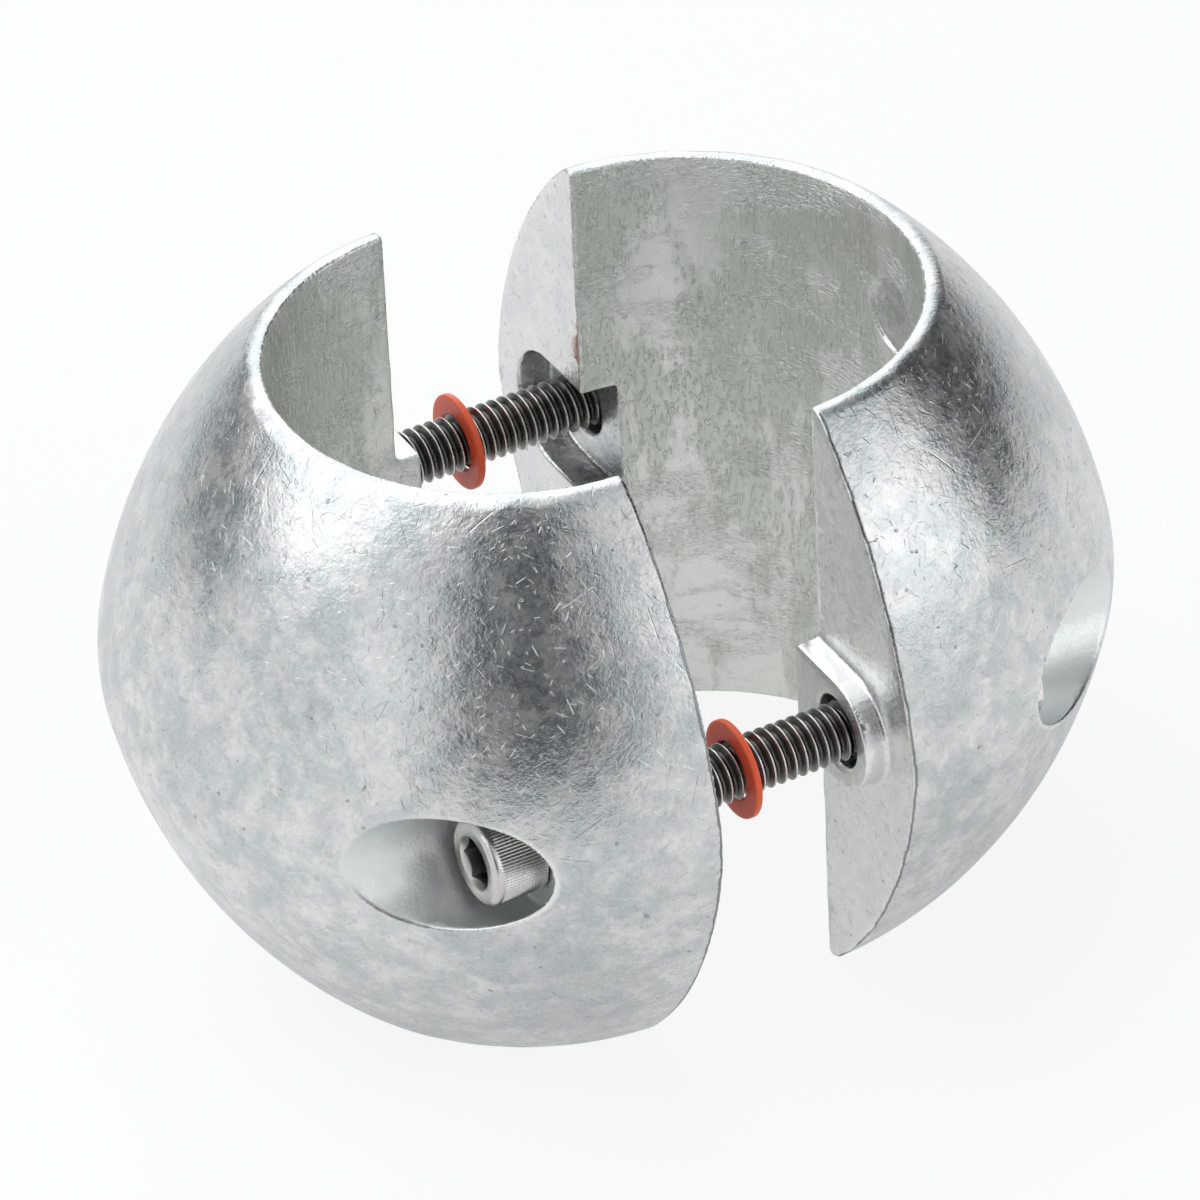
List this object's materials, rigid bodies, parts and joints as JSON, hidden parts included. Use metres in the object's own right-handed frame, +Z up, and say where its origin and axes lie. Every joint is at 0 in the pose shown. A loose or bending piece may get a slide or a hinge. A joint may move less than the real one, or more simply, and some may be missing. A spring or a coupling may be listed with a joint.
{
  "type": "sacrificial anode",
  "caption": "Split ball-shaped zinc anode for a propeller shaft, laid open on its socket cap screws, with red retaining washers and captive nuts.",
  "frame": {"origin": "middle of the floor that both castings stand on, half way between their bores", "axes": "+Z up along the shaft bore, +X along the screws from the heads to the nuts, -Y the front with the lower screw of the picture"},
  "size_m": [0.1094, 0.0894, 0.07],
  "materials": {
    "cast_zinc": "raw cast zinc, pale blue-grey, mottled, finely scratched, bright at the edges",
    "stainless_steel": "rolled stainless thread, dark in the roots, and a bright knurled head",
    "red_plastic": "thin, slightly translucent orange-red plastic"
  },
  "bodies": {
    "screw_half": {"screw_half_casting": "cast_zinc"},
    "nut_half": {"nut_half_casting": "cast_zinc", "front_hex_nut": "stainless_steel", "rear_hex_nut": "stainless_steel"},
    "front_screw": {"front_cap_screw": "stainless_steel"},
    "rear_screw": {"rear_cap_screw": "stainless_steel"},
    "front_washer": {"front_retaining_washer": "red_plastic"},
    "rear_washer": {"rear_retaining_washer": "red_plastic"}
  },
  "joints": [
    {"name": "collar_close", "type": "slide", "parent": "screw_half", "child": "nut_half", "axis": [-1, 0, 0], "range_m": [0, 0.02]},
    {"name": "front_screw_turn", "type": "hinge", "parent": "screw_half", "child": "front_screw", "pos_m": [-0.034, -0.0335, 0.035], "axis": [1, 0, 0], "continuous": true},
    {"name": "rear_screw_turn", "type": "hinge", "parent": "screw_half", "child": "rear_screw", "pos_m": [-0.034, 0.0335, 0.035], "axis": [1, 0, 0], "continuous": true},
    {"name": "front_washer_shift", "type": "slide", "parent": "screw_half", "child": "front_washer", "axis": [-1, 0, 0], "range_m": [0, 0.01]},
    {"name": "rear_washer_shift", "type": "slide", "parent": "screw_half", "child": "rear_washer", "axis": [-1, 0, 0], "range_m": [0, 0.007]}
  ],
  "couplings": [
    {"joint": "front_washer_shift", "follows": "collar_close", "ratio": 0.5},
    {"joint": "rear_washer_shift", "follows": "collar_close", "ratio": 0.35}
  ]
}
